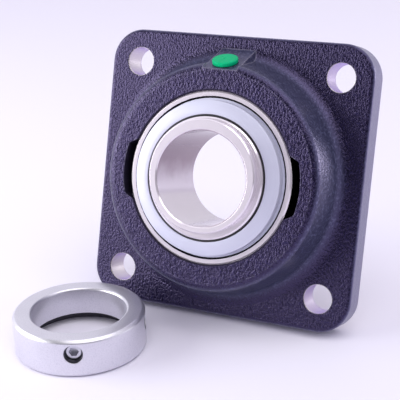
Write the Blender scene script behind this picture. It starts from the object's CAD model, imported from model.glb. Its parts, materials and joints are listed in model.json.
"""Looks of a square four-bolt flange bearing unit with its loose eccentric locking collar.

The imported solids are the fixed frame. Pressed, moulded, turned and threaded pieces are modelled anew around them,
every surface gets a finish of its own, and a soft white studio stands round the unit. Sizes are in millimetres in
the frame of the piece that they belong to; meshes are placed in metres.
"""

from __future__ import annotations

import json
import logging
import math
from dataclasses import dataclass, field
from enum import Enum

import bmesh
import bpy
from mathutils import Euler, Matrix, Vector


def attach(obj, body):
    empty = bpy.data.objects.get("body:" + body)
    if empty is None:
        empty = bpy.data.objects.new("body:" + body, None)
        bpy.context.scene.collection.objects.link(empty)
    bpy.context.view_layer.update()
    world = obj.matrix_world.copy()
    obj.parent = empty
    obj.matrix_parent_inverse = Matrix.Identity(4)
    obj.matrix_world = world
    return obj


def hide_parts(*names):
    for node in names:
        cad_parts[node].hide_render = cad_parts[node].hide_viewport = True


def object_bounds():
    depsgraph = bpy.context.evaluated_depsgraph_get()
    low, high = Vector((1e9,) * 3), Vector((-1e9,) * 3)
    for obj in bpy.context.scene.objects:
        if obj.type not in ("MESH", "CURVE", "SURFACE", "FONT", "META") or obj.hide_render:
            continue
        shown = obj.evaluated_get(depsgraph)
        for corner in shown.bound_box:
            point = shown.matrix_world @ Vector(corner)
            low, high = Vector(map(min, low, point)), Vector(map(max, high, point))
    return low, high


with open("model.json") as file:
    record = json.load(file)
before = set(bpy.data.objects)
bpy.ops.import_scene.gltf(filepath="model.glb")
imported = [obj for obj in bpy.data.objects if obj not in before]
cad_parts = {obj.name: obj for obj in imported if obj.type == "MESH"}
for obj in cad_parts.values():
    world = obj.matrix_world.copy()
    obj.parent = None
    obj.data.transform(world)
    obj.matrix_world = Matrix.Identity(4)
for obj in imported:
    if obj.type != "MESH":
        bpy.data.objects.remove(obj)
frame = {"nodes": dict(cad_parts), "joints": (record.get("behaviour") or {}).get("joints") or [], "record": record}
CAD_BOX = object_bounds()

MM = 0.001
TURN_STEPS = 192
SMALL_STEPS = 64
SHARP_EDGE = math.radians(20)
SMOOTH_EDGE = math.radians(35)
MERGE_GAP = 1e-5

Color = tuple[float, float, float]
Range = tuple[float, float]
Socket = bpy.types.NodeSocket
Sockets = dict[str, Socket]
Feed = Socket | float | tuple[float, ...]

log = logging.getLogger("flange_bearing_unit")


class Body(Enum):
    """Bodies that new pieces ride on, by their names in the frame."""

    PLUG = "plug"
    INSERT = "insert"
    COLLAR = "collar"
    SCREW = "screw"


class Slot(Enum):
    """The record's finishes that new pieces take."""

    PLASTIC = "green_plastic"
    SHEET = "zinc_sheet"
    ZINC = "zinc_collar"
    SCREW = "screw_steel"
    RUBBER = "black_rubber"


def mount(name: str) -> dict:
    """Find one of the record's mounts.

    Args:
        name: The mount's name.

    Returns:
        The mount's entry in the record.
    """
    return next(m for m in frame["record"]["mounts"] if m["name"] == name)


def joint(name: str) -> dict:
    """Find one of the record's joints.

    Args:
        name: The joint's name.

    Returns:
        The joint's entry in the record.
    """
    return next(j for j in frame["joints"] if j["name"] == name)


def seat(origin: Vector, axis: Vector, side: Vector) -> Matrix:
    """Make a frame in millimetres that stands on an axis.

    Args:
        origin: The frame's origin, in metres.
        axis: The direction of its Z.
        side: A direction that its X leans towards.

    Returns:
        The matrix that takes a point in that frame to the row frame in metres.
    """
    z = axis.normalized()
    x = (side - z * side.dot(z)).normalized()
    y = z.cross(x)
    turn = Matrix((x, y, z)).transposed().to_4x4()
    return Matrix.Translation(origin) @ turn @ Matrix.Scale(MM, 4)


RIGHT = Vector((1, 0, 0))
BORE_AXIS = Vector(mount("shaft_bore")["axis"])
UNIT_SEAT = seat(Vector(mount("flange_bolts")["pos_m"]), BORE_AXIS, RIGHT)
BEARING_SEAT = seat(Vector(mount("shaft_bore")["pos_m"]), BORE_AXIS, RIGHT)
COLLAR_SEAT = seat(Vector(joint("collar_turn")["pos_m"]), Vector(joint("collar_turn")["axis"]), RIGHT)


class Graph:
    """Adds and links nodes in one node tree."""

    MIX_FACTOR, MIX_A, MIX_B, MIX_RESULT = 0, 6, 7, 2
    MIDDLE = 0.5

    def __init__(self, tree: bpy.types.NodeTree) -> None:
        """Keep the tree that the nodes go to."""
        self.tree = tree

    def feed(self, socket: Socket, value: Feed) -> None:
        """Link a socket, or set its own value.

        Args:
            socket: The input to fill.
            value: An output to link, a number or a colour.
        """
        if isinstance(value, Socket):
            self.tree.links.new(value, socket)
        else:
            socket.default_value = value

    def node(self, kind: str, inputs: dict[str | int, Feed] | None = None, **settings: object) -> bpy.types.Node:
        """Add a node.

        Args:
            kind: The node's type.
            inputs: Values by input name or number.
            settings: The node's own properties.

        Returns:
            The new node.
        """
        made = self.tree.nodes.new(kind)
        for name, value in settings.items():
            setattr(made, name, value)
        for key, value in (inputs or {}).items():
            self.feed(made.inputs[key], value)
        return made

    def math(self, operation: str, first: Feed, *others: Feed) -> Socket:
        """Work out one number, from left to right.

        Args:
            operation: Name of the Math node's operation.
            first: The number to start from.
            others: The numbers that follow it, if the operation takes any.

        Returns:
            The result's socket.
        """
        if not others:
            return self.node("ShaderNodeMath", {0: first}, operation=operation).outputs[0]
        for other in others:
            first = self.node("ShaderNodeMath", {0: first, 1: other}, operation=operation).outputs[0]
        return first

    def vector(self, operation: str, *values: Feed) -> Socket:
        """Work out one vector, or one number from vectors.

        Args:
            operation: Name of the Vector Math node's operation.
            values: Its inputs in order.

        Returns:
            The result's socket.
        """
        made = self.node("ShaderNodeVectorMath", dict(enumerate(values)), operation=operation)
        return made.outputs["Value" if operation in ("LENGTH", "DOT_PRODUCT") else "Vector"]

    def weigh(self, *terms: tuple[Feed, float]) -> Socket:
        """Add numbers up, each with its weight."""
        return self.math("ADD", *(self.math("MULTIPLY", value, weight) for value, weight in terms))

    def sway(self, value: Feed, reach: float) -> Socket:
        """Centre a value about 0.5 on zero and give it another reach."""
        return self.math("MULTIPLY", self.math("SUBTRACT", value, self.MIDDLE), reach)

    def step(self, value: Feed, low: float, high: float, start: float = 0.0, end: float = 1.0) -> Socket:
        """Ease a number from one level to another.

        Args:
            value: The number.
            low: Where the ramp starts.
            high: Where the ramp ends.
            start: The level before the ramp.
            end: The level after the ramp.

        Returns:
            The eased number.
        """
        inputs = {"Value": value, "From Min": low, "From Max": high, "To Min": start, "To Max": end}
        return self.node("ShaderNodeMapRange", inputs, interpolation_type="SMOOTHSTEP").outputs[0]

    def band(self, value: Feed, low: float, high: float, blur: float) -> Socket:
        """Mark a range of a number.

        Args:
            value: The number.
            low: Where the range starts.
            high: Where the range ends.
            blur: Width of its soft ends, outside the range.

        Returns:
            1 inside the range and 0 outside it.
        """
        return self.math("MULTIPLY", self.step(value, low - blur, low), self.step(value, high + blur, high))

    def mix(self, factor: Feed, first: Feed, second: Feed) -> Socket:
        """Blend two colours.

        Args:
            factor: Share of the second colour.
            first: Colour at 0.
            second: Colour at 1.

        Returns:
            The blended colour.
        """
        inputs = {self.MIX_FACTOR: factor, self.MIX_A: first, self.MIX_B: second}
        return self.node("ShaderNodeMix", inputs, data_type="RGBA").outputs[self.MIX_RESULT]

    def noise(self, vector: Feed, scale: float, detail: float = 2.0, roughness: float = 0.5) -> Socket:
        """Add a cloud of noise.

        Args:
            vector: Coordinates of the surface.
            scale: Waves per unit of the coordinates.
            detail: Number of finer layers.
            roughness: Weight of the finer layers.

        Returns:
            A value about 0.5.
        """
        inputs = {"Vector": vector, "Scale": scale, "Detail": detail, "Roughness": roughness}
        return self.node("ShaderNodeTexNoise", inputs).outputs[0]

    def split(self, point: Feed) -> bpy.types.NodeOutputs:
        """Part a point into its X, Y and Z."""
        return self.node("ShaderNodeSeparateXYZ", {0: point}).outputs

    def polar(self, point: Feed) -> tuple[Socket, Socket]:
        """Split a point by the Z axis.

        Args:
            point: The point.

        Returns:
            Its distance from the axis and its height.
        """
        parts = self.split(point)
        flat = self.node("ShaderNodeCombineXYZ", {"X": parts[0], "Y": parts[1]}).outputs[0]
        return self.vector("LENGTH", flat), parts[2]

    def bump(self, height: Feed, depth: float, strength: float = 1.0, normal: Socket | None = None) -> Socket:
        """Turn a height into a normal.

        Args:
            height: The height.
            depth: Metres that a height of 1 stands for.
            strength: Share of the effect.
            normal: The normal to start from, if it isn't the surface's own.

        Returns:
            The bumped normal.
        """
        inputs = {"Strength": strength, "Distance": depth, "Height": height}
        if normal is not None:
            inputs["Normal"] = normal
        return self.node("ShaderNodeBump", inputs).outputs[0]


def rgba(color: Color) -> tuple[float, float, float, float]:
    """Give a colour full opacity."""
    return (*color, 1.0)


class Effect:
    """A shader node group that several finishes share. It is built once."""

    name = "effect"
    inputs: tuple[tuple[str, str], ...] = ()
    outputs: tuple[tuple[str, str], ...] = ()

    def group(self) -> bpy.types.NodeTree:
        """Find or build the node group.

        Returns:
            The group.
        """
        found = bpy.data.node_groups.get(self.name)
        if found:
            return found
        tree = bpy.data.node_groups.new(self.name, "ShaderNodeTree")
        for way, sockets in (("INPUT", self.inputs), ("OUTPUT", self.outputs)):
            for socket, kind in sockets:
                tree.interface.new_socket(socket, in_out=way, socket_type=kind)
        graph = Graph(tree)
        source = graph.node("NodeGroupInput")
        results = self.build(graph, {socket: source.outputs[socket] for socket, _ in self.inputs})
        graph.node("NodeGroupOutput", dict(results))
        return tree

    def build(self, graph: Graph, given: Sockets) -> Sockets:
        """Add the group's nodes.

        Args:
            graph: Where the nodes go.
            given: The group's inputs by name.

        Returns:
            The group's outputs by name.
        """
        raise NotImplementedError

    def place(self, graph: Graph, **values: Feed) -> bpy.types.NodeOutputs:
        """Put the group into a material.

        Args:
            graph: The material's graph.
            values: Inputs by name, with spaces written as underscores.

        Returns:
            The outputs of the placed group.
        """
        inputs = {key.replace("_", " "): value for key, value in values.items()}
        return graph.node("ShaderNodeGroup", inputs, node_tree=self.group()).outputs


FLOAT, VECTOR = "NodeSocketFloat", "NodeSocketVector"


class CastGrain(Effect):
    """Pebbled skin of sprayed paint on a sand casting."""

    name = "cast_grain"
    inputs = (("Point", VECTOR), ("Grain Size", FLOAT), ("Coarse", FLOAT))
    outputs = (("Height", FLOAT), ("Shade", FLOAT), ("Fleck", FLOAT))
    stretch = (1.2, 0.75, 1.0)
    ridge, fleck = (0.36, 0.66), (0.50, 0.70)
    peel_scale, peel_share = 0.45, 0.22
    fine_scale, fine_share = 2.6, 0.30
    tone_scale, tone_share = 0.05, 0.6

    def build(self, graph: Graph, given: Sockets) -> Sockets:
        """Layer pebbles, orange peel and slow tone changes, and mark the pebbles' tops.

        Args:
            graph: Where the nodes go.
            given: The group's inputs by name.

        Returns:
            The paint's height, its tone and the mask of the pebbles' tops.
        """
        scaled = graph.vector("DIVIDE", given["Point"], given["Grain Size"])
        point = graph.vector("MULTIPLY", scaled, self.stretch)
        pebbles = graph.noise(point, scale=1.0, roughness=0.55)
        ridges = graph.step(pebbles, *self.ridge)
        peel = graph.noise(point, self.peel_scale, detail=1.0)
        fine = graph.noise(point, self.fine_scale)
        coarse = graph.math("MULTIPLY", ridges, given["Coarse"])
        height = graph.math("ADD", coarse, graph.weigh((peel, self.peel_share), (fine, self.fine_share)))
        tone = graph.noise(given["Point"], self.tone_scale, detail=3.0)
        shade = graph.weigh((ridges, 1 - self.tone_share), (tone, self.tone_share))
        return {"Height": height, "Shade": shade, "Fleck": graph.step(pebbles, *self.fleck)}


class TurningMarks(Effect):
    """Fine rings that a turning or grinding tool leaves round an axis."""

    name = "turning_marks"
    inputs = (("Point", VECTOR), ("Pitch", FLOAT))
    outputs = (("Height", FLOAT), ("Shade", FLOAT))
    slant = 0.83
    cloud_scale, cloud_share = 0.09, 0.55

    def build(self, graph: Graph, given: Sockets) -> Sockets:
        """Run one-dimensional noise along radius and height, and cloud it a little.

        Args:
            graph: Where the nodes go.
            given: The group's inputs by name.

        Returns:
            The rings' height and the metal's tone.
        """
        radius, height = graph.polar(given["Point"])
        along = graph.math("ADD", radius, graph.math("MULTIPLY", height, self.slant))
        inputs = {"W": graph.math("DIVIDE", along, given["Pitch"]), "Scale": 1.0, "Detail": 3.0}
        lines = graph.node("ShaderNodeTexNoise", inputs, noise_dimensions="1D").outputs[0]
        clouds = graph.noise(given["Point"], self.cloud_scale, detail=3.0)
        shade = graph.weigh((lines, 1 - self.cloud_share), (clouds, self.cloud_share))
        return {"Height": lines, "Shade": shade}


class WornEdge(Effect):
    """Softened edges and the mask of the wear along them."""

    name = "worn_edge"
    inputs = (("Point", VECTOR), ("Radius", FLOAT), ("Patch Size", FLOAT))
    outputs = (("Mask", FLOAT), ("Line", FLOAT), ("Normal", VECTOR))
    rays = 6
    bend, patch = (0.995, 0.93), (0.42, 0.62)

    def build(self, graph: Graph, given: Sockets) -> Sockets:
        """Compare the rounded normal with the plain one, and break the line up.

        Args:
            graph: Where the nodes go.
            given: The group's inputs by name.

        Returns:
            The mask of the wear, the whole edge and the rounded normal.
        """
        rounded = graph.node("ShaderNodeBevel", {"Radius": given["Radius"]}, samples=self.rays).outputs[0]
        plain = graph.node("ShaderNodeNewGeometry").outputs["Normal"]
        edge = graph.step(graph.vector("DOT_PRODUCT", rounded, plain), *self.bend)
        scaled = graph.vector("DIVIDE", given["Point"], given["Patch Size"])
        patches = graph.step(graph.noise(scaled, scale=1.0, detail=4.0, roughness=0.65), *self.patch)
        return {"Mask": graph.math("MULTIPLY", edge, patches), "Line": edge, "Normal": rounded}


class DirtRing(Effect):
    """Oily dirt that sits in a round groove."""

    name = "dirt_ring"
    inputs = (("Point", VECTOR), ("Radius", FLOAT), ("Half Width", FLOAT))
    outputs = (("Mask", FLOAT),)
    waver_scale, waver_reach = 0.7, 0.3
    blur = 0.06

    def build(self, graph: Graph, given: Sockets) -> Sockets:
        """Mark a narrow ring and let its border waver.

        Args:
            graph: Where the nodes go.
            given: The group's inputs by name.

        Returns:
            The mask of the dirt.
        """
        radius, _ = graph.polar(given["Point"])
        away = graph.math("ABSOLUTE", graph.math("SUBTRACT", radius, given["Radius"]))
        waver = graph.sway(graph.noise(given["Point"], self.waver_scale, detail=3.0), self.waver_reach)
        inside = graph.math("SUBTRACT", given["Half Width"], graph.math("ADD", away, waver))
        return {"Mask": graph.step(inside, -self.blur, self.blur)}


GRAIN, TURNING, EDGE, DIRT = CastGrain(), TurningMarks(), WornEdge(), DirtRing()
OILY_BLACK: Color = (0.002, 0.002, 0.003)


class Finish:
    """A procedural material on the coordinates of the piece's own frame."""

    name = "finish"

    def material(self, place: Matrix) -> bpy.types.Material:
        """Build the material.

        Args:
            place: Frame of the piece, which the pattern is centred on.

        Returns:
            The material.
        """
        made = bpy.data.materials.new(self.name)
        made.use_nodes = True
        made.node_tree.nodes.clear()
        graph = Graph(made.node_tree)
        inward = place.inverted()
        shift, turn, size = inward.decompose()
        inputs = {"Location": shift, "Rotation": turn.to_euler(), "Scale": size}
        source = graph.node("ShaderNodeTexCoord").outputs["Object"]
        point = graph.node("ShaderNodeMapping", {"Vector": source, **inputs}).outputs[0]
        shader = graph.node("ShaderNodeBsdfPrincipled")
        graph.node("ShaderNodeOutputMaterial", {"Surface": shader.outputs[0]})
        self.dress(graph, shader, point)
        return made

    def dress(self, graph: Graph, shader: bpy.types.Node, point: Socket) -> None:
        """Fill the shader's sockets.

        Args:
            graph: The material's graph.
            shader: Its Principled shader.
            point: The surface's place in millimetres in the piece's frame.
        """
        raise NotImplementedError


@dataclass(frozen=True)
class CastSkin(Finish):
    """Black paint on a casting, with its drilled, faced and bored places bare."""

    name: str = "black_cast_paint"
    paint: Color = (0.002, 0.0015, 0.012)
    paint_high: Color = (0.007, 0.006, 0.034)
    side: Color = (0.032, 0.035, 0.070)
    side_high: Color = (0.095, 0.103, 0.175)
    outline: Color = (0.125, 0.120, 0.195)
    tint: Color = (0.62, 0.51, 1.0)
    gloss: float = 1.75
    worn: Color = (0.34, 0.33, 0.40)
    worn_share: float = 0.6
    bare: Color = (0.78, 0.74, 0.70)
    bare_low: Color = (0.624, 0.592, 0.56)
    bare_pitch: float = 0.35
    grain_size: float = 1.08
    grain_depth: float = 0.00013
    side_grain: float = 0.5
    flat_rough: float = 0.24
    side_rough: float = 0.32
    rough_spread: float = 0.16
    dirt_rough: float = 0.5
    flat_facing: Range = (0.70, 0.97)
    flank_facing: Range = (0.97, 0.60)
    outline_facing: Range = (0.7, 0.3)
    edge_radius: float = 0.0008
    patch_size: float = 2.2
    rim_r: float = 50.6
    rim_half: float = 0.2
    rim_blur: float = 0.35
    rub: Range = (0.40, 0.70)
    rub_most: float = 0.3
    flange_r: float = 67.5
    boss_y: float = 47.0
    boss_r: float = 62.0
    blur: float = 1.0
    bolt_place: float = 52.5
    bolt_r: float = 7.0
    bolt_gap: Range = (0.25, 0.05)
    face_gap: Range = (0.15, 0.05)
    seat_r: float = 42.56
    seat_gap: Range = (0.12, 0.06)
    seat_z: float = 25.0
    mouth_r: float = 41.35
    mouth_half: float = 0.6
    mouth_z: float = 35.4
    rise: float = 0.4
    slot_r: float = 45.6
    slot_half: float = 17.0
    slot_gap: float = 0.1
    fade: float = 0.5

    def bare_mask(self, graph: Graph, point: Socket) -> Socket:
        """Find the machined places.

        Args:
            graph: The material's graph.
            point: The surface's place in the unit's frame.

        Returns:
            1 on hole walls, on the mounting face and in the spherical seat.
        """
        parts = graph.split(point)
        offsets = [graph.math("SUBTRACT", graph.math("ABSOLUTE", parts[i]), self.bolt_place) for i in (0, 1)]
        flat = graph.node("ShaderNodeCombineXYZ", {"X": offsets[0], "Y": offsets[1]}).outputs[0]
        from_hole, _ = graph.polar(flat)
        from_centre = graph.vector("LENGTH", graph.vector("SUBTRACT", point, (0, 0, self.seat_z)))
        hole = graph.step(from_hole, *(self.bolt_r + gap for gap in self.bolt_gap))
        ball = graph.step(from_centre, *(self.seat_r + gap for gap in self.seat_gap))
        return graph.math("MAXIMUM", hole, graph.step(parts[2], *self.face_gap), ball)

    def dirt_mask(self, graph: Graph, point: Socket) -> Socket:
        """Find the places where oil and dirt gather.

        Args:
            graph: The material's graph.
            point: The surface's place in the unit's frame.

        Returns:
            1 round the mouth of the seat and in the loading slots.
        """
        radius, height = graph.polar(point)
        ring = DIRT.place(graph, Point=point, Radius=self.mouth_r, Half_Width=self.mouth_half)["Mask"]
        mouth = graph.math("MULTIPLY", ring, graph.step(height, self.mouth_z - self.rise, self.mouth_z))
        beside = graph.math("ABSOLUTE", graph.split(point)[1])
        level = graph.step(beside, self.slot_half + self.slot_gap, self.slot_half)
        within = graph.step(radius, self.slot_r + self.slot_gap, self.slot_r)
        deep = graph.step(height, self.mouth_z + 2 * self.rise, self.mouth_z + self.rise)
        inward = graph.step(height, self.seat_z - self.fade, self.seat_z)
        return graph.math("MAXIMUM", mouth, graph.math("MULTIPLY", level, within, deep, inward))

    def wear_mask(self, graph: Graph, point: Socket, edge: bpy.types.NodeOutputs) -> Socket:
        """Find the places where the paint is rubbed.

        Args:
            graph: The material's graph.
            point: The surface's place in the unit's frame.
            edge: Outputs of the worn-edge group.

        Returns:
            1 on rubbed edges, round the grease boss and along the crease of the bell's rim.
        """
        radius, height = graph.polar(point)
        above = graph.step(graph.split(point)[1], self.boss_y - self.blur, self.boss_y)
        boss = graph.math("MULTIPLY", above, graph.band(radius, 0, self.boss_r, self.blur))
        lines = graph.math("MAXIMUM", edge["Mask"], graph.math("MULTIPLY", edge["Line"], boss))
        crease = graph.band(radius, self.rim_r - self.rim_half, self.rim_r + self.rim_half, self.rim_blur)
        high = graph.step(height, self.mouth_z, self.mouth_z + self.fade)
        rubbed = graph.step(graph.noise(point, scale=0.9, detail=4.0, roughness=0.7), *self.rub, 0.0, self.rub_most)
        return graph.math("MAXIMUM", lines, graph.math("MULTIPLY", crease, high, rubbed))

    def paint_tone(self, graph: Graph, point: Socket, facing: Socket, fleck: Socket) -> Socket:
        """Colour the paint.

        Args:
            graph: The material's graph.
            point: The surface's place in the unit's frame.
            facing: 1 where the surface faces along the bore.
            fleck: 1 on the tops of the grain.

        Returns:
            Dark paint on the faces, lighter paint on the flared side and on the flange's outline.
        """
        face = graph.mix(fleck, rgba(self.paint), rgba(self.paint_high))
        flank = graph.mix(fleck, rgba(self.side), rgba(self.side_high))
        tone = graph.mix(graph.step(facing, *self.flank_facing), face, flank)
        far = graph.step(graph.polar(point)[0], self.flange_r - self.blur, self.flange_r)
        border = graph.math("MULTIPLY", far, graph.step(facing, *self.outline_facing))
        return graph.mix(border, tone, rgba(self.outline))

    def dress(self, graph: Graph, shader: bpy.types.Node, point: Socket) -> None:
        """Pebbled paint on the flat faces, smoother paint on the flared side, and bare metal.

        Args:
            graph: The material's graph.
            shader: Its Principled shader.
            point: The surface's place in the unit's frame.
        """
        facing = graph.vector("DOT_PRODUCT", graph.node("ShaderNodeNewGeometry").outputs["Normal"], BORE_AXIS)
        flat = graph.step(facing, *self.flat_facing, self.side_grain, 1.0)
        bare, dirt = self.bare_mask(graph, point), self.dirt_mask(graph, point)
        grain = GRAIN.place(graph, Point=point, Grain_Size=self.grain_size, Coarse=flat)
        marks = TURNING.place(graph, Point=point, Pitch=self.bare_pitch)
        edge = EDGE.place(graph, Point=point, Radius=self.edge_radius, Patch_Size=self.patch_size)
        wear = graph.math("MULTIPLY", self.wear_mask(graph, point, edge), self.worn_share)
        painted = graph.mix(wear, self.paint_tone(graph, point, facing, grain["Fleck"]), rgba(self.worn))
        metal = graph.mix(marks["Shade"], rgba(self.bare_low), rgba(self.bare))
        clean = graph.mix(bare, painted, metal)
        graph.feed(shader.inputs["Base Color"], graph.mix(dirt, clean, rgba(OILY_BLACK)))
        graph.feed(shader.inputs["Metallic"], graph.math("MULTIPLY", bare, graph.math("SUBTRACT", 1.0, dirt)))
        shader.inputs["Specular Tint"].default_value = rgba(self.tint)
        shader.inputs["IOR"].default_value = self.gloss
        skin = graph.step(flat, self.side_grain, 1.0, self.side_rough, self.flat_rough)
        oily = graph.math("MULTIPLY", dirt, self.dirt_rough)
        rough = graph.math("ADD", skin, graph.sway(grain["Shade"], self.rough_spread), oily)
        graph.feed(shader.inputs["Roughness"], rough)
        height = graph.math("MULTIPLY", grain["Height"], graph.math("SUBTRACT", 1.0, bare))
        graph.feed(shader.inputs["Normal"], graph.bump(height, self.grain_depth, normal=edge["Normal"]))


@dataclass(frozen=True)
class TurnedMetal(Finish):
    """Bright metal with turning or grinding rings."""

    name: str = "turned_steel"
    color: Color = (0.78, 0.77, 0.80)
    shade: Color = (0.66, 0.65, 0.69)
    roughness: float = 0.26
    spread: float = 0.12
    pitch: float = 0.3
    depth: float = 0.000012
    metallic: float = 1.0
    edge_radius: float = 0.00025

    def dress(self, graph: Graph, shader: bpy.types.Node, point: Socket) -> None:
        """Rings in the height, clouds in tone and roughness, softened edges.

        Args:
            graph: The material's graph.
            shader: Its Principled shader.
            point: The surface's place in the piece's frame.
        """
        marks = TURNING.place(graph, Point=point, Pitch=self.pitch)
        edge = EDGE.place(graph, Radius=self.edge_radius)
        plain = graph.mix(marks["Shade"], rgba(self.shade), rgba(self.color))
        graph.feed(shader.inputs["Base Color"], self.tone(graph, point, plain))
        shader.inputs["Metallic"].default_value = self.metallic
        rough = graph.math("ADD", graph.sway(marks["Shade"], self.spread), self.roughness)
        graph.feed(shader.inputs["Roughness"], rough)
        graph.feed(shader.inputs["Normal"], graph.bump(marks["Height"], self.depth, normal=edge["Normal"]))

    def tone(self, graph: Graph, point: Socket, plain: Socket) -> Socket:
        """Colour the metal from place to place.

        Args:
            graph: The material's graph.
            point: The surface's place in the piece's frame.
            plain: The metal's colour with its rings.

        Returns:
            The colour to use.
        """
        return plain


@dataclass(frozen=True)
class RingSteel(TurnedMetal):
    """Ground steel of the bearing rings, darker in the bore and dirty where the shield sits."""

    bore: Color = (0.72, 0.67, 0.72)
    bore_r: float = 22.6
    bore_gap: float = 0.1
    film: Color = (0.34, 0.26, 0.31)
    film_border: Range = (-7.0, 8.0)
    film_scale: float = 0.12
    film_waver: float = 8.0
    groove_r: float = 38.25
    groove_half: float = 0.3
    outside_r: float = 41.0
    outside_gap: float = 0.15

    def tone(self, graph: Graph, point: Socket, plain: Socket) -> Socket:
        """Tint the bore, lay an oil film on one half of it and blacken the shield's seat and the sphere.

        Args:
            graph: The material's graph.
            point: The surface's place in the bearing's frame.
            plain: The steel's colour with its rings.

        Returns:
            The colour to use.
        """
        radius, _ = graph.polar(point)
        hollow = graph.step(radius, self.bore_r + self.bore_gap, self.bore_r)
        waver = graph.sway(graph.noise(point, self.film_scale, detail=3.0), self.film_waver)
        film = graph.step(graph.math("ADD", graph.split(point)[1], waver), *self.film_border)
        tinted = graph.mix(hollow, plain, graph.mix(film, rgba(self.bore), rgba(self.film)))
        groove = DIRT.place(graph, Point=point, Radius=self.groove_r, Half_Width=self.groove_half)["Mask"]
        behind = graph.step(radius, self.outside_r, self.outside_r + self.outside_gap)
        return graph.mix(graph.math("MAXIMUM", groove, behind), tinted, rgba(OILY_BLACK))


@dataclass(frozen=True)
class SheetZinc(TurnedMetal):
    """Zinc-plated sheet of the shields, dirty at the foot."""

    foot_r: float = 38.0
    foot_half: float = 0.35

    def tone(self, graph: Graph, point: Socket, plain: Socket) -> Socket:
        """Blacken the rolled edge that sits in the ring."""
        dirt = DIRT.place(graph, Point=point, Radius=self.foot_r, Half_Width=self.foot_half)["Mask"]
        return graph.mix(dirt, plain, rgba(OILY_BLACK))


@dataclass(frozen=True)
class CollarZinc(TurnedMetal):
    """Zinc-plated collar, dark inside its recess and its radial holes."""

    inner_r: float = 23.0
    outer_r: float = 29.6
    wall_blur: float = 0.2
    hole_r: float = 31.15
    hole_blur: float = 0.1
    recess_z: float = 0.2
    hole_z: float = 2.6
    top_z: float = 16.2
    dull: Color = (0.030, 0.029, 0.040)
    dull_share: float = 0.9
    spangle: Color = (0.42, 0.42, 0.50)
    speck: Range = (0.45, 0.72)
    speck_most: float = 0.3

    def tone(self, graph: Graph, point: Socket, plain: Socket) -> Socket:
        """Speckle the plating and darken the walls that lie inside the ring's outline.

        Args:
            graph: The material's graph.
            point: The surface's place in the collar's frame.
            plain: The zinc's colour with its rings.

        Returns:
            The colour to use.
        """
        radius, height = graph.polar(point)
        recess = graph.math("MULTIPLY", graph.band(radius, self.inner_r, self.outer_r, self.wall_blur),
                            graph.band(height, self.recess_z, self.top_z, self.hole_blur))
        holes = graph.math("MULTIPLY", graph.band(radius, self.outer_r, self.hole_r, self.hole_blur),
                           graph.band(height, self.hole_z, self.top_z, self.hole_blur))
        dark = graph.math("MULTIPLY", graph.math("MAXIMUM", recess, holes), self.dull_share)
        cloud = graph.noise(point, scale=1.6, detail=3.0, roughness=0.7)
        specks = graph.step(cloud, *self.speck, 0.0, self.speck_most)
        return graph.mix(dark, graph.mix(specks, plain, rgba(self.spangle)), rgba(self.dull))


@dataclass(frozen=True)
class MouldedPlastic(Finish):
    """Smooth coloured plastic with flow clouds and a faint grain."""

    name: str = "green_plastic"
    color: Color = (0.0, 0.50, 0.22)
    deep: Color = (0.0, 0.38, 0.13)
    gloss: float = 1.18
    roughness: float = 0.42
    spread: float = 0.12
    cloud_scale: float = 0.25
    grain_scale: float = 4.0
    grain_depth: float = 0.00003
    grain_strength: float = 0.6

    def dress(self, graph: Graph, shader: bpy.types.Node, point: Socket) -> None:
        """Slow clouds in the colour and fine grain in the height.

        Args:
            graph: The material's graph.
            shader: Its Principled shader.
            point: The surface's place in the plug's frame.
        """
        shader.inputs["IOR"].default_value = self.gloss
        clouds = graph.noise(point, self.cloud_scale, detail=3.0)
        grain = graph.noise(point, self.grain_scale)
        graph.feed(shader.inputs["Base Color"], graph.mix(clouds, rgba(self.deep), rgba(self.color)))
        graph.feed(shader.inputs["Roughness"], graph.math("ADD", self.roughness, graph.sway(grain, self.spread)))
        graph.feed(shader.inputs["Normal"], graph.bump(grain, self.grain_depth, self.grain_strength))


@dataclass(frozen=True)
class SealRubber(Finish):
    """Matt black rubber."""

    name: str = "seal_rubber"
    color: Color = (0.010, 0.010, 0.012)
    dusty: Color = (0.022, 0.021, 0.025)
    roughness: float = 0.55
    spread: float = 0.2
    bloom_scale: float = 0.3
    grain_scale: float = 5.0
    grain_depth: float = 0.00004
    grain_strength: float = 0.5

    def dress(self, graph: Graph, shader: bpy.types.Node, point: Socket) -> None:
        """A dusty bloom over black, with a fine moulded grain.

        Args:
            graph: The material's graph.
            shader: Its Principled shader.
            point: The surface's place in the bearing's frame.
        """
        bloom = graph.noise(point, self.bloom_scale, detail=4.0)
        grain = graph.noise(point, self.grain_scale)
        graph.feed(shader.inputs["Base Color"], graph.mix(bloom, rgba(self.color), rgba(self.dusty)))
        graph.feed(shader.inputs["Roughness"], graph.math("ADD", self.roughness, graph.sway(bloom, self.spread)))
        graph.feed(shader.inputs["Normal"], graph.bump(grain, self.grain_depth, self.grain_strength))


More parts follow.
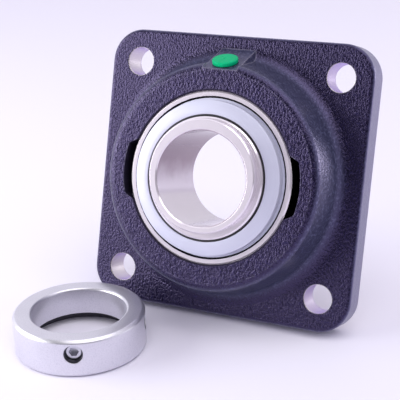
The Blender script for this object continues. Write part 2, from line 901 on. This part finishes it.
class Lathe:
    """A section drawn in the plane of radius and height, then turned about the Z axis."""

    def __init__(self, radius: float, height: float) -> None:
        """Start the section at one point.

        Args:
            radius: The point's distance from the axis.
            height: Its height.
        """
        self.mesh = bmesh.new()
        self.first = self.mesh.verts.new((radius, 0, height))
        self.last = self.first

    def line(self, *points: tuple[float, float]) -> "Lathe":
        """Draw straight on.

        Args:
            points: Radius and height of each next corner.

        Returns:
            The same section.
        """
        for radius, height in points:
            vert = self.mesh.verts.new((radius, 0, height))
            self.mesh.edges.new((self.last, vert))
            self.last = vert
        return self

    def close(self) -> "Lathe":
        """Join the last corner to the first."""
        self.mesh.edges.new((self.last, self.first))
        return self

    def turn(self, steps: int = TURN_STEPS) -> bmesh.types.BMesh:
        """Turn the section into a body.

        Args:
            steps: Facets of the full turn.

        Returns:
            The closed mesh with its faces outwards.
        """
        geometry = [*self.mesh.verts, *self.mesh.edges]
        bmesh.ops.spin(self.mesh, geom=geometry, cent=(0, 0, 0), axis=(0, 0, 1), angle=math.tau, steps=steps,
                       use_merge=True)
        bmesh.ops.remove_doubles(self.mesh, verts=self.mesh.verts, dist=MERGE_GAP)
        bmesh.ops.recalc_face_normals(self.mesh, faces=self.mesh.faces)
        return self.mesh


def round_edges(mesh: bmesh.types.BMesh, radius: float, segments: int, beyond: float = 0.0) -> None:
    """Round the sharp edges of a mesh.

    Args:
        mesh: The mesh.
        radius: Width of the rounding.
        segments: Steps across it.
        beyond: Distance from the Z axis past which an edge counts.
    """
    edges = [e for e in mesh.edges if e.is_manifold and e.calc_face_angle() > SHARP_EDGE
             and all(v.co.xy.length > beyond for v in e.verts)]
    bmesh.ops.bevel(mesh, geom=edges, offset=radius, offset_type="OFFSET", segments=segments, profile=0.5,
                    affect="EDGES", material=-1, clamp_overlap=True)


def smooth(data: bpy.types.Mesh) -> None:
    """Shade a mesh smooth, with its sharp edges marked by angle."""
    data.shade_smooth()
    data.set_sharp_from_angle(angle=SMOOTH_EDGE)


def make_piece(name: str, mesh: bmesh.types.BMesh, place: Matrix) -> bpy.types.Object:
    """Turn a mesh into an object in the row frame, at the origin.

    Args:
        name: The object's name.
        mesh: Its mesh in the piece's frame. It is freed.
        place: The piece's frame.

    Returns:
        The object, with smooth faces and sharp edges marked by angle.
    """
    mesh.transform(place)
    data = bpy.data.meshes.new(name)
    mesh.to_mesh(data)
    mesh.free()
    smooth(data)
    piece = bpy.data.objects.new(name, data)
    bpy.context.scene.collection.objects.link(piece)
    return piece


def cut(piece: bpy.types.Object, *cutters: bpy.types.Object) -> None:
    """Cut pieces out of another and remove the cutters.

    Args:
        piece: What is cut.
        cutters: The shapes taken out of it.
    """
    for cutter in cutters:
        modifier = piece.modifiers.new("cut", "BOOLEAN")
        modifier.operation = "DIFFERENCE"
        modifier.solver = "EXACT"
        modifier.object = cutter
    graph = bpy.context.evaluated_depsgraph_get()
    made = bpy.data.meshes.new_from_object(piece.evaluated_get(graph))
    piece.modifiers.clear()
    piece.data = made
    for cutter in cutters:
        bpy.data.objects.remove(cutter)
    smooth(made)


def dress_piece(piece: bpy.types.Object, finish: bpy.types.Material, body: Body, slot: Slot, *nodes: str) -> None:
    """Finish a new piece, seat it on its body and say what it stands for.

    Args:
        piece: The piece.
        finish: Its material.
        body: The body that it moves with.
        slot: The record's finish.
        nodes: The solids that it replaces.
    """
    piece.data.materials.clear()
    piece.data.materials.append(finish)
    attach(piece, body.value)
    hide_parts(*nodes)
    log.info("%s: %d faces on %s", piece.name, len(piece.data.polygons), body.value)


def dress_node(name: str, finish: bpy.types.Material) -> None:
    """Give a solid of the frame its finish.

    Args:
        name: The solid's name.
        finish: Its material.
    """
    data = frame["nodes"][name].data
    data.materials.clear()
    data.materials.append(finish)
    log.info("%s: kept, %s", name, finish.name)


@dataclass
class Housing:
    """The cast housing."""

    skin: CastSkin = field(default_factory=CastSkin)

    def dress(self) -> None:
        """Paint the casting."""
        dress_node("flange_housing", self.skin.material(UNIT_SEAT))


@dataclass
class GreasePlug:
    """The plastic plug in the grease hole."""

    head_r: float = 6.2
    head_h: float = 2.2
    edge_r: float = 0.55
    edge_steps: int = 5
    edge_band: float = 0.01
    crown: float = 0.12
    gate_r: float = 0.9
    gate_h: float = 0.12
    gate_slope: float = 0.1
    stem_r: float = 2.9
    stem_l: float = 6.0
    stem_edge: float = 0.6
    lift: float = 0.05
    steps: int = 96
    foot: tuple[float, float, float] = (0.0, 54.532, 29.469)
    plastic: MouldedPlastic = field(default_factory=MouldedPlastic)

    def place(self) -> Matrix:
        """Frame on the plug's axis, at the boss's flat top."""
        return seat(UNIT_SEAT @ Vector(self.foot), Vector(joint("plug_pull")["axis"]), RIGHT)

    def build(self) -> bpy.types.Object:
        """Turn the head, its gate mark and the stem.

        Returns:
            The plug.
        """
        top = self.lift + self.head_h
        section = Lathe(0, -self.stem_l)
        section.line((self.stem_r - self.stem_edge, -self.stem_l), (self.stem_r, self.stem_edge - self.stem_l),
                     (self.stem_r, self.lift), (self.head_r, self.lift), (self.head_r, top - self.crown),
                     (self.head_r / 2, top), (self.gate_r, top),
                     (self.gate_r - self.gate_slope, top - self.gate_h), (0, top - self.gate_h))
        mesh = section.turn(self.steps)
        round_edges(mesh, self.edge_r, self.edge_steps, self.head_r - self.edge_band)
        return make_piece("grease_cap", mesh, self.place())

    def dress(self) -> None:
        """Make the plug and finish it."""
        dress_piece(self.build(), self.plastic.material(self.place()), Body.PLUG, Slot.PLASTIC, "grease_plug")


class Side(Enum):
    """The two ends of the bearing."""

    FRONT = 1
    REAR = -1


@dataclass
class Insert:
    """Rings, balls, cage, shields and seals of the bearing."""

    shield_t: float = 0.9
    foot_r: float = 38.25
    foot_z: float = 9.3
    foot_roll: float = 0.5
    wall_r: float = 36.6
    face_z: float = 15.7
    slope_h: float = 1.2
    ledge_r: float = 32.3
    shield_in_r: float = 29.95
    bend_r: float = 0.4
    bend_steps: int = 4
    lip_in_r: float = 29.0
    lip_sink: float = 0.3
    lip_edge: float = 0.12
    lip_steps: int = 2
    balls: int = 10
    steel: RingSteel = RingSteel("ground_ring_steel", (0.97, 0.91, 0.96), (0.80, 0.74, 0.80), roughness=0.13,
                                 spread=0.05, pitch=0.22, depth=0.000003, metallic=0.55)
    zinc: SheetZinc = SheetZinc("zinc_sheet", (0.66, 0.67, 0.79), (0.54, 0.55, 0.67), roughness=0.50,
                                spread=0.10, pitch=0.6, depth=0.000004, metallic=0.3)
    polish: TurnedMetal = TurnedMetal("ball_polish", (0.82, 0.82, 0.84), (0.76, 0.76, 0.78), roughness=0.07,
                                      spread=0.03, pitch=0.8, depth=0.000001)
    pressed: TurnedMetal = TurnedMetal("pressed_cage_steel", (0.56, 0.55, 0.57), (0.44, 0.43, 0.46), roughness=0.36,
                                       spread=0.2, pitch=1.5)
    rubber: SealRubber = field(default_factory=SealRubber)

    def shield(self) -> bmesh.types.BMesh:
        """Press a shield: foot, wall, sloping face and flat ledge with round bends.

        Returns:
            The shield's mesh, front side.
        """
        thick, step_z = self.shield_t, self.face_z - self.slope_h
        foot_top = self.foot_z + thick
        section = Lathe(self.foot_r, self.foot_z)
        section.line((self.foot_r, foot_top - self.foot_roll), (self.foot_r - self.foot_roll, foot_top),
                     (self.wall_r, foot_top), (self.wall_r, step_z),
                     (self.ledge_r, self.face_z), (self.shield_in_r, self.face_z),
                     (self.shield_in_r, self.face_z - thick), (self.ledge_r, self.face_z - thick),
                     (self.wall_r - thick, step_z - thick), (self.wall_r - thick, self.foot_z)).close()
        mesh = section.turn()
        round_edges(mesh, self.bend_r, self.bend_steps)
        return mesh

    def lip(self) -> bmesh.types.BMesh:
        """Mould a seal: a root under the shield's ledge and a lip on the inner ring.

        Returns:
            The seal's mesh, front side.
        """
        under = self.face_z - self.shield_t
        section = Lathe(self.lip_in_r, self.face_z - self.lip_sink)
        section.line((self.shield_in_r, self.face_z - self.lip_sink), (self.shield_in_r, under), (self.ledge_r, under),
                     (self.ledge_r, under - self.shield_t), (self.lip_in_r, under - self.shield_t)).close()
        mesh = section.turn()
        round_edges(mesh, self.lip_edge, self.lip_steps)
        return mesh

    def build_seals(self) -> None:
        """Make shield and lip for both ends of the bearing."""
        sheet, rubber = self.zinc.material(BEARING_SEAT), self.rubber.material(BEARING_SEAT)
        for side in Side:
            word = side.name.lower()
            flip = Matrix.Identity(4) if side is Side.FRONT else Matrix.Rotation(math.pi, 4, "X")
            shield = make_piece(f"{word}_shield_pressing", self.shield(), BEARING_SEAT @ flip)
            dress_piece(shield, sheet, Body.INSERT, Slot.SHEET, f"{word}_shield")
            lip = make_piece(f"{word}_seal_lip", self.lip(), BEARING_SEAT @ flip)
            dress_piece(lip, rubber, Body.INSERT, Slot.RUBBER, f"{word}_lip_seal")

    def dress(self) -> None:
        """Make the seals and finish rings, balls and cage."""
        self.build_seals()
        steel = self.steel.material(BEARING_SEAT)
        for name in ("outer_ring", "inner_ring"):
            dress_node(name, steel)
        pressed = self.pressed.material(BEARING_SEAT)
        for name in ("cage_front", "cage_rear", "cage_rivets"):
            dress_node(name, pressed)
        polish = self.polish.material(BEARING_SEAT)
        for number in range(1, self.balls + 1):
            dress_node(f"ball_{number:02d}", polish)


@dataclass
class LockingCollar:
    """The loose collar, its set screw and its drift hole."""

    outer_r: float = 31.5
    width: float = 18.8
    chamfer: float = 1.4
    bore_r: float = 22.65
    bore_edge: float = 0.8
    recess_r: float = 27.0
    recess_h: float = 5.2
    recess_offset: float = 1.1
    edge_r: float = 0.4
    edge_steps: int = 3
    lead: float = 1.2
    drift_h: float = 5.0
    drift_turn: float = 90.0
    screw_r: float = 4.0
    screw_gap: float = 0.08
    screw_reach: float = 4.0
    screw_l: float = 6.0
    screw_sink: float = 2.8
    screw_edge: float = 0.5
    head_gap: float = 0.1
    socket_w: float = 4.0
    socket_h: float = 3.0
    socket_over: float = 1.0
    thread_pitch: float = 1.25
    thread_h: float = 0.7
    thread_half: float = 0.42
    thread_root: float = 0.1
    thread_gap: float = 0.02
    thread_crest: float = 0.06
    thread_steps: int = 48
    zinc: CollarZinc = CollarZinc("zinc_collar", (0.80, 0.79, 0.85), (0.64, 0.63, 0.70), roughness=0.34,
                                  spread=0.14, pitch=0.28, depth=0.000008, metallic=0.85)
    steel: TurnedMetal = TurnedMetal("screw_steel", (0.74, 0.74, 0.80), (0.54, 0.54, 0.61), roughness=0.30,
                                     spread=0.2, pitch=0.3, depth=0.000012, metallic=0.8)

    @property
    def screw_z(self) -> float:
        """Height of the set screw's axis."""
        return (self.recess_h + self.width) / 2

    def across(self, angle: float) -> Matrix:
        """Frame at the collar's axis with Z pointing outwards.

        Args:
            angle: Turn from the set screw's direction, in degrees.

        Returns:
            The frame in the row frame.
        """
        outward = Vector(joint("screw_drive")["axis"])
        outward.rotate(Euler((0, 0, math.radians(angle))))
        return seat(COLLAR_SEAT @ Vector((0, 0, self.screw_z)), outward, Vector((0, 0, 1)))

    def ring(self) -> bmesh.types.BMesh:
        """Loft the collar through its circles, with the recess off centre.

        Returns:
            The collar's mesh without its radial holes.
        """
        recess = COLLAR_SEAT.to_3x3().inverted() @ -Vector(joint("screw_drive")["axis"])
        shift = recess.normalized() * self.recess_offset
        centre = Vector((0, 0, 0))
        face_r = self.outer_r - self.chamfer
        circles = [
            (face_r, 0, centre), (self.outer_r, self.chamfer, centre),
            (self.outer_r, self.width - self.chamfer, centre), (face_r, self.width, centre),
            (self.bore_r + self.bore_edge, self.width, centre), (self.bore_r, self.width - self.bore_edge, centre),
            (self.bore_r, self.recess_h, centre), (self.recess_r, self.recess_h, shift), (self.recess_r, 0, shift),
        ]
        mesh = bmesh.new()
        start = bmesh.ops.create_circle(mesh, segments=TURN_STEPS, radius=circles[0][0])["verts"]
        loop = list({e for v in start for e in v.link_edges})
        first = loop
        for (old_r, old_z, old_c), (new_r, new_z, new_c) in zip(circles, circles[1:]):
            grown = bmesh.ops.extrude_edge_only(mesh, edges=loop)["geom"]
            verts = [g for g in grown if isinstance(g, bmesh.types.BMVert)]
            spread = Matrix.Diagonal((new_r / old_r, new_r / old_r, 1))
            about = Matrix.Translation(-old_c - Vector((0, 0, old_z)))
            bmesh.ops.transform(mesh, matrix=spread.to_4x4(), space=about, verts=verts)
            bmesh.ops.translate(mesh, vec=new_c - old_c + Vector((0, 0, new_z - old_z)), verts=verts)
            loop = [g for g in grown if isinstance(g, bmesh.types.BMEdge) and all(v in verts for v in g.verts)]
        bmesh.ops.bridge_loops(mesh, edges=[*first, *loop])
        bmesh.ops.recalc_face_normals(mesh, faces=mesh.faces)
        round_edges(mesh, self.edge_r, self.edge_steps)
        return mesh

    def hole(self, angle: float, radius: float, inner: float) -> bpy.types.Object:
        """Make the cutter of a radial hole with a steep lead.

        Args:
            angle: Turn from the set screw's direction.
            radius: Radius of the hole.
            inner: Where the hole ends, from the collar's axis.

        Returns:
            The cutter.
        """
        outer = self.outer_r
        section = Lathe(0, inner)
        section.line((radius, inner), (radius, outer - self.lead), (radius + self.lead, outer + self.lead),
                     (0, outer + self.lead))
        return make_piece("cutter", section.turn(SMALL_STEPS), self.across(angle))

    def build_collar(self) -> bpy.types.Object:
        """Turn the collar, then drill it.

        Returns:
            The collar.
        """
        collar = make_piece("locking_ring", self.ring(), COLLAR_SEAT)
        cut(collar, self.hole(0, self.screw_r + self.screw_gap, self.bore_r - self.screw_reach),
            self.hole(self.drift_turn, self.screw_r, self.outer_r - self.drift_h))
        return collar

    def thread(self, core_r: float, start: float, end: float) -> bmesh.types.BMesh:
        """Wind the thread's ridge on the screw's core.

        Args:
            core_r: Radius of the core.
            start: Height at which the ridge starts.
            end: Height at which it ends.

        Returns:
            The closed ridge.
        """
        half, pitch, steps = self.thread_pitch * self.thread_half, self.thread_pitch, self.thread_steps
        root, top, middle = core_r - self.thread_root, self.screw_r - self.thread_gap, start + half
        section = ((root, start), (root, start + 2 * half), (top, middle + self.thread_crest),
                   (top, middle - self.thread_crest))
        mesh = bmesh.new()
        face = mesh.faces.new([mesh.verts.new((radius, 0, height)) for radius, height in section])
        turns = (end - start - 2 * half) / pitch
        geometry = [face, *face.edges, *face.verts]
        bmesh.ops.spin(mesh, geom=geometry, cent=(0, 0, 0), axis=(0, 0, 1), dvec=(0, 0, pitch / steps),
                       angle=math.tau * turns, steps=round(steps * turns), use_duplicate=False)
        bmesh.ops.recalc_face_normals(mesh, faces=mesh.faces)
        return mesh

    def socket(self, top: float) -> bmesh.types.BMesh:
        """Make the cutter of the hexagon socket.

        Args:
            top: Height of the screw's head.

        Returns:
            The cutter, which stands out of the head.
        """
        over = self.socket_over
        corner_r = self.socket_w / 2 / math.cos(math.radians(30))
        mesh = bmesh.new()
        bmesh.ops.create_cone(mesh, cap_ends=True, segments=6, radius1=corner_r, radius2=corner_r,
                              depth=self.socket_h + 2 * over,
                              matrix=Matrix.Translation((0, 0, top - self.socket_h / 2 + over)))
        return mesh

    def build_screw(self) -> bpy.types.Object:
        """Turn the screw's core, sink the hexagon socket and wind the thread.

        Returns:
            The set screw.
        """
        core_r, head_r = self.screw_r - self.thread_h, self.screw_r - self.head_gap
        tip, edge, place = self.outer_r - self.screw_sink - self.screw_l, self.screw_edge, self.across(0)
        top = tip + self.screw_l
        section = Lathe(0, tip + edge)
        section.line((core_r - 3 * edge, tip + edge), (core_r - 2 * edge, tip), (core_r - edge, tip),
                     (core_r, tip + edge), (core_r, top - 2 * edge), (head_r, top - 1.6 * edge),
                     (head_r, top - edge), (head_r - edge, top), (0, top))
        screw = make_piece("hex_socket_screw", section.turn(SMALL_STEPS), place)
        cut(screw, make_piece("cutter", self.socket(top), place))
        ridge = self.thread(core_r, tip + edge, top - 1.8 * edge)
        ridge.transform(place)
        ridge.from_mesh(screw.data)
        ridge.to_mesh(screw.data)
        ridge.free()
        return screw

    def dress(self) -> None:
        """Make collar and screw and finish them."""
        dress_piece(self.build_collar(), self.zinc.material(COLLAR_SEAT), Body.COLLAR, Slot.ZINC, "locking_collar")
        dress_piece(self.build_screw(), self.steel.material(self.across(0)), Body.SCREW, Slot.SCREW, "set_screw")


class LampKind(Enum):
    """Kinds of lamp in the studio."""

    SOFTBOX = "AREA"
    CEILING = "SUN"

    def shape(self, data: bpy.types.Light, width: float, height: float) -> None:
        """Give a lamp its size.

        Args:
            data: The lamp.
            width: Width in metres, or the angle in degrees that a bright ceiling fills.
            height: Height in metres; a ceiling has none.
        """
        if self is LampKind.CEILING:
            data.angle = math.radians(width)
        else:
            data.shape = "RECTANGLE"
            data.size, data.size_y = width, height


@dataclass(frozen=True)
class Lamp:
    """One soft lamp that looks at the unit."""

    name: str
    kind: LampKind
    place: tuple[float, float, float]
    width: float
    height: float
    power: float
    color: Color = (1.0, 1.0, 1.0)

    def build(self, target: Vector) -> None:
        """Hang the lamp.

        Args:
            target: The point that it looks at.
        """
        data = bpy.data.lights.new(self.name, self.kind.value)
        self.kind.shape(data, self.width, self.height)
        data.energy = self.power
        data.color = self.color
        lamp = bpy.data.objects.new(self.name, data)
        lamp.location = self.place
        lamp.rotation_euler = (target - Vector(self.place)).to_track_quat("-Z", "Y").to_euler()
        bpy.context.scene.collection.objects.link(lamp)


@dataclass
class Studio:
    """Camera, lamps, floor and surroundings."""

    camera_place: tuple[float, float, float] = (0.2004, -0.4708, 0.1882)
    camera_turn: tuple[float, float, float] = (68.52, 1.80, 24.50)
    lens: float = 97.8
    shift_y: float = 0.0025
    floor_r: float = 4.0
    floor_steps: int = 96
    floor_color: Color = (0.87, 0.852, 0.935)
    floor_rough: float = 0.6
    floor_gloss: float = 0.2
    backdrop: Color = (0.895, 0.875, 0.965)
    ambient: Color = (0.49, 0.465, 0.57)
    shade: Color = (0.0, 0.0, 0.0)
    shade_y: Range = (0.1, -0.4)
    shade_most: float = 0.93
    window_x: Range = (-0.62, 0.05)
    window_z: Range = (0.0, 0.3)
    window_blur: Range = (0.3, 0.2)
    window_fade: Range = (-0.60, -0.22)
    window_light: Range = (0.95, 0.25)
    lamps: tuple[Lamp, ...] = (
        Lamp("key_softbox", LampKind.SOFTBOX, (-0.78, -0.48, 0.28), width=0.80, height=0.60, power=7.4),
        Lamp("right_softbox", LampKind.SOFTBOX, (0.74, 0.60, 0.10), width=0.40, height=0.26, power=2.6),
        Lamp("bright_ceiling", LampKind.CEILING, (0.32, -0.30, 0.90), width=56.0, height=0.0, power=1.30,
             color=(1.0, 0.98, 0.99)),
    )

    def build_camera(self) -> None:
        """Set the camera at the viewing angle of the picture."""
        data = bpy.data.cameras.new("camera")
        data.lens = self.lens
        data.shift_y = self.shift_y
        camera = bpy.data.objects.new("camera", data)
        camera.location = self.camera_place
        camera.rotation_euler = [math.radians(a) for a in self.camera_turn]
        bpy.context.scene.collection.objects.link(camera)
        bpy.context.scene.camera = camera

    def build_floor(self) -> None:
        """Lay a pale floor under the unit."""
        mesh = bmesh.new()
        bmesh.ops.create_circle(mesh, cap_ends=True, segments=self.floor_steps, radius=self.floor_r)
        floor = make_piece("studio_floor", mesh, Matrix.Translation((0, 0, CAD_BOX[0].z)))
        made = bpy.data.materials.new("studio_floor")
        made.use_nodes = True
        shader = made.node_tree.nodes["Principled BSDF"]
        shader.inputs["Base Color"].default_value = rgba(self.floor_color)
        shader.inputs["Roughness"].default_value = self.floor_rough
        shader.inputs["Specular IOR Level"].default_value = self.floor_gloss
        floor.data.materials.append(made)

    def build_world(self) -> None:
        """Surround the unit with white that eye and mirror see, over a softer ambient light."""
        world = bpy.data.worlds.new("studio")
        world.use_nodes = True
        world.node_tree.nodes.clear()
        graph = Graph(world.node_tree)
        path = graph.node("ShaderNodeLightPath").outputs
        seen = graph.math("MAXIMUM", path["Is Camera Ray"], path["Is Transmission Ray"])
        direction = graph.node("ShaderNodeTexCoord").outputs["Generated"]
        parts = graph.split(direction)
        wide = graph.band(parts[0], *self.window_x, self.window_blur[0])
        tall = graph.band(parts[2], *self.window_z, self.window_blur[1])
        window = graph.math("MULTIPLY", wide, tall, graph.step(parts[0], *self.window_fade, *self.window_light))
        front = graph.step(parts[1], *self.shade_y, 0.0, self.shade_most)
        dark = graph.math("MULTIPLY", graph.math("SUBTRACT", 1.0, window), front)
        mirror = graph.mix(dark, rgba(self.backdrop), rgba(self.shade))
        glossy = graph.mix(path["Is Glossy Ray"], rgba(self.ambient), mirror)
        color = graph.mix(seen, glossy, rgba(self.backdrop))
        background = graph.node("ShaderNodeBackground", {"Color": color, "Strength": 1.0})
        graph.node("ShaderNodeOutputWorld", {"Surface": background.outputs[0]})
        bpy.context.scene.world = world

    def build(self) -> None:
        """Build the studio."""
        bpy.context.scene.view_settings.view_transform = "Standard"
        self.build_camera()
        self.build_floor()
        self.build_world()
        middle = (CAD_BOX[0] + CAD_BOX[1]) / 2
        for lamp in self.lamps:
            lamp.build(middle)


def main() -> None:
    """Build the studio, then dress the unit piece by piece."""
    logging.basicConfig(level=logging.INFO, format="%(name)s: %(message)s")
    Studio().build()
    for assembly in (Housing(), GreasePlug(), Insert(), LockingCollar()):
        assembly.dress()


if __name__ == "__main__":
    main()
